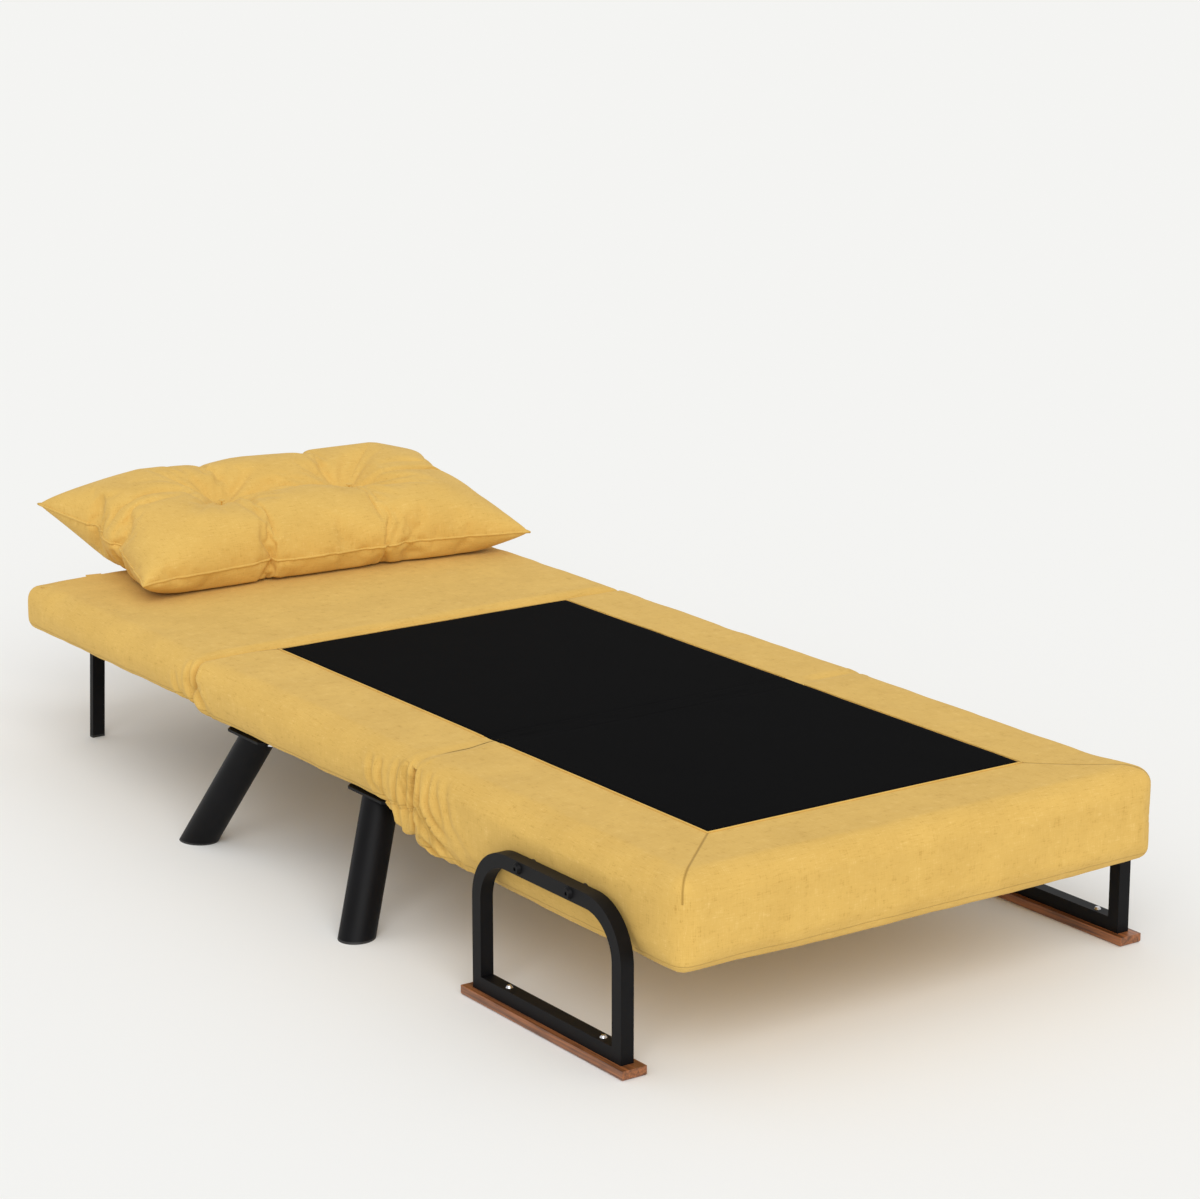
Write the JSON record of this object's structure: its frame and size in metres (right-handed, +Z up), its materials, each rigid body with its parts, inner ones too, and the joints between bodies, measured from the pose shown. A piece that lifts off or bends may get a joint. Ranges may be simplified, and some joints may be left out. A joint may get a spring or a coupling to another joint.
{
  "type": "convertible chair bed",
  "caption": "Three-section upholstered chair bed laid flat as a single bed, with steel-loop armrests on wooden skids, splayed tube legs, a click-back head section and a tufted pillow",
  "frame": {"origin": "middle of the overall box in plan, at floor level", "axes": "+X to the sleeper's right seen from the foot end, +Y from the foot end to the head end, +Z up"},
  "size_m": [0.943, 1.984, 0.4294],
  "materials": {
    "upholstery": "linen-look woven polyester, mustard yellow",
    "lining": "thin black non-woven lining",
    "strap": "elastic webbing, black",
    "foam": "soft open-cell foam",
    "filling": "loose fibre filling, white",
    "black_steel": "satin black powder coat",
    "zinc": "bright zinc plating",
    "dark_steel": "bare hardened steel",
    "wood": "reddish brown stain, satin lacquer",
    "floor_plastic": "matt black moulded plastic"
  },
  "bodies": {
    "root": {"seat_side_rails": "black_steel", "seat_cross_rails": "black_steel", "seat_straps": "strap", "seat_foam": "foam", "seat_edge_pads": "foam", "seat_cover": "upholstery", "seat_lining": "lining", "seat_dust_cover": "lining", "fold_gusset": "upholstery", "front_leg_left": "black_steel", "front_leg_right": "black_steel", "rear_leg_left": "black_steel", "rear_leg_right": "black_steel", "leg_plates": "black_steel", "leg_bolts": "zinc", "leg_nuts": "zinc", "leg_caps": "floor_plastic", "seat_hinge_brackets": "black_steel", "seat_pins": "dark_steel", "ratchet_plates": "black_steel", "ratchet_bolts": "zinc"},
    "fold_link": {"fold_links": "black_steel"},
    "foot": {"foot_side_rails": "black_steel", "foot_cross_rails": "black_steel", "foot_straps": "strap", "foot_foam_upper": "foam", "foot_foam_lower": "foam", "foot_edge_pads": "foam", "foot_cover": "upholstery", "foot_lining": "lining", "foot_hinge_brackets": "black_steel", "foot_pins": "dark_steel", "armrest_loop_left": "black_steel", "armrest_loop_right": "black_steel", "armrest_skid_left": "wood", "armrest_skid_right": "wood", "armrest_bolts": "zinc", "armrest_nuts": "zinc", "armrest_spacers": "floor_plastic", "skid_screws": "zinc"},
    "back": {"back_side_rails": "black_steel", "back_cross_rails": "black_steel", "back_straps": "strap", "back_foam": "foam", "back_edge_pads": "foam", "back_cover": "upholstery", "back_dust_cover": "lining", "back_tabs": "upholstery", "tilt_plates": "black_steel", "back_bolts": "zinc", "pawl_pins": "dark_steel", "pawl_springs": "dark_steel", "support_leg_brackets": "black_steel"},
    "pawl_left": {"pawl_left": "dark_steel"},
    "pawl_right": {"pawl_right": "dark_steel"},
    "support_leg": {"support_leg": "black_steel", "support_leg_caps": "floor_plastic"},
    "pillow": {"pillow_cover": "upholstery", "pillow_filling": "filling", "pillow_ties": "strap"}
  },
  "joints": [
    {"name": "fold_link_turn", "type": "hinge", "parent": "root", "child": "fold_link", "pos_m": [0, -0.3549, 0.266], "axis": [-1, 0, 0], "range_deg": [0, 90]},
    {"name": "foot_flip", "type": "hinge", "parent": "fold_link", "child": "foot", "pos_m": [0, -0.3829, 0.266], "axis": [-1, 0, 0], "range_deg": [0, 90]},
    {"name": "back_tilt", "type": "hinge", "parent": "root", "child": "back", "pos_m": [0, 0.2731, 0.262], "axis": [1, 0, 0], "range_deg": [0, 75]},
    {"name": "pawl_left_turn", "type": "hinge", "parent": "back", "child": "pawl_left", "pos_m": [-0.3565, 0.30836, 0.21346], "axis": [-1, 0, 0], "range_deg": [0, 13]},
    {"name": "pawl_right_turn", "type": "hinge", "parent": "back", "child": "pawl_right", "pos_m": [0.3565, 0.30836, 0.21346], "axis": [-1, 0, 0], "range_deg": [0, 13]},
    {"name": "support_leg_fold", "type": "hinge", "parent": "back", "child": "support_leg", "pos_m": [0, 0.7981, 0.186], "axis": [-1, 0, 0], "range_deg": [0, 90]},
    {"name": "pillow_lift", "type": "slide", "parent": "back", "child": "pillow", "axis": [0, 0, 1], "range_m": [0, 0.06]}
  ],
  "couplings": [
    {"joint": "foot_flip", "follows": "fold_link_turn", "ratio": 1},
    {"joint": "pawl_right_turn", "follows": "pawl_left_turn", "ratio": 1}
  ]
}
